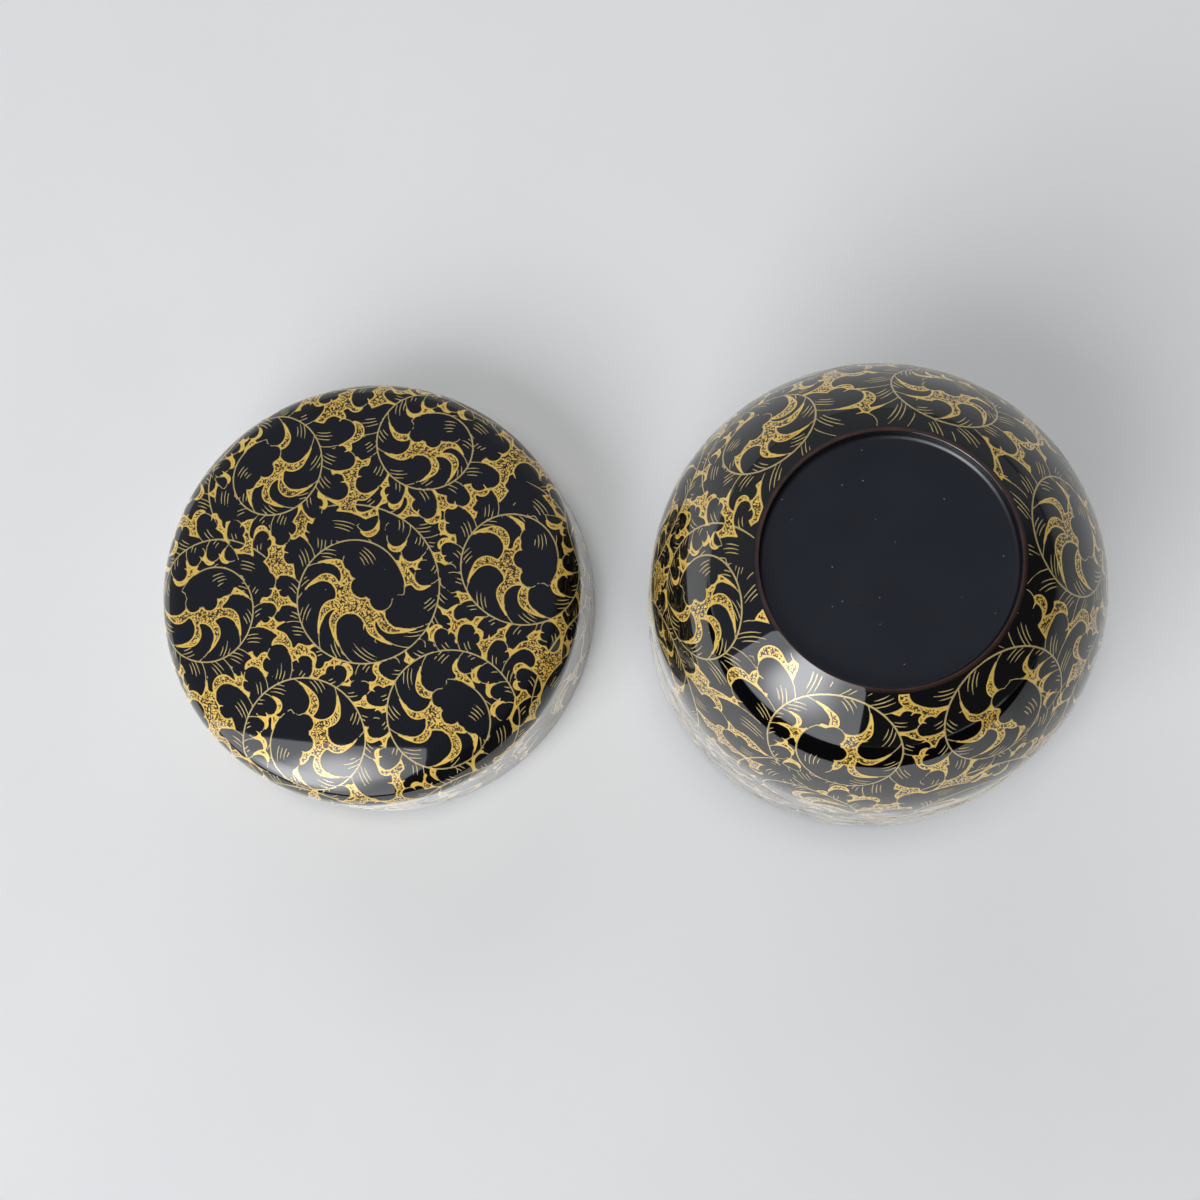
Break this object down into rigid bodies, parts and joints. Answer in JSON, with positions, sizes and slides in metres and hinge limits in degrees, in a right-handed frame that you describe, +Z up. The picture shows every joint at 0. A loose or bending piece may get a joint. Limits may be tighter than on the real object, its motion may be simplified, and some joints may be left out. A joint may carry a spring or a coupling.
{
  "type": "lacquer tea caddy",
  "caption": "Jujube-shaped turned tea caddy in black lacquer with gold scroll ornament, its fitted lid lifted off and stood beside the upturned body.",
  "frame": {"origin": "on the table, midway between the lid and the body that stands beside it", "axes": "+Z up from the table; +X from the lid to the upturned body; both axes of turning stand upright at Y = 0"},
  "size_m": [0.141, 0.066, 0.0553],
  "materials": {
    "turned_wood": "fine-grained turned hardwood under the ground coat",
    "polished_lacquer": "black lacquer polished to a mirror",
    "lining_lacquer": "black lacquer, rubbed to a soft gloss",
    "base_lacquer": "black lacquer, left satin",
    "gold_inlay": "gold leaf and powder rubbed into cut lines"
  },
  "bodies": {
    "caddy_body": {"body_core": "turned_wood", "body_outer_coat": "polished_lacquer", "body_lining": "lining_lacquer", "collar_coat": "lining_lacquer", "foot_coat": "base_lacquer"},
    "lid": {"lid_core": "turned_wood", "lid_outer_coat": "polished_lacquer", "lid_lining": "lining_lacquer", "lid_rim_coat": "lining_lacquer"}
  },
  "joints": [
    {"name": "lid_lift", "type": "slide", "parent": "caddy_body", "child": "lid", "axis": [0, 0, 1], "range_m": [0, 0.06]}
  ]
}
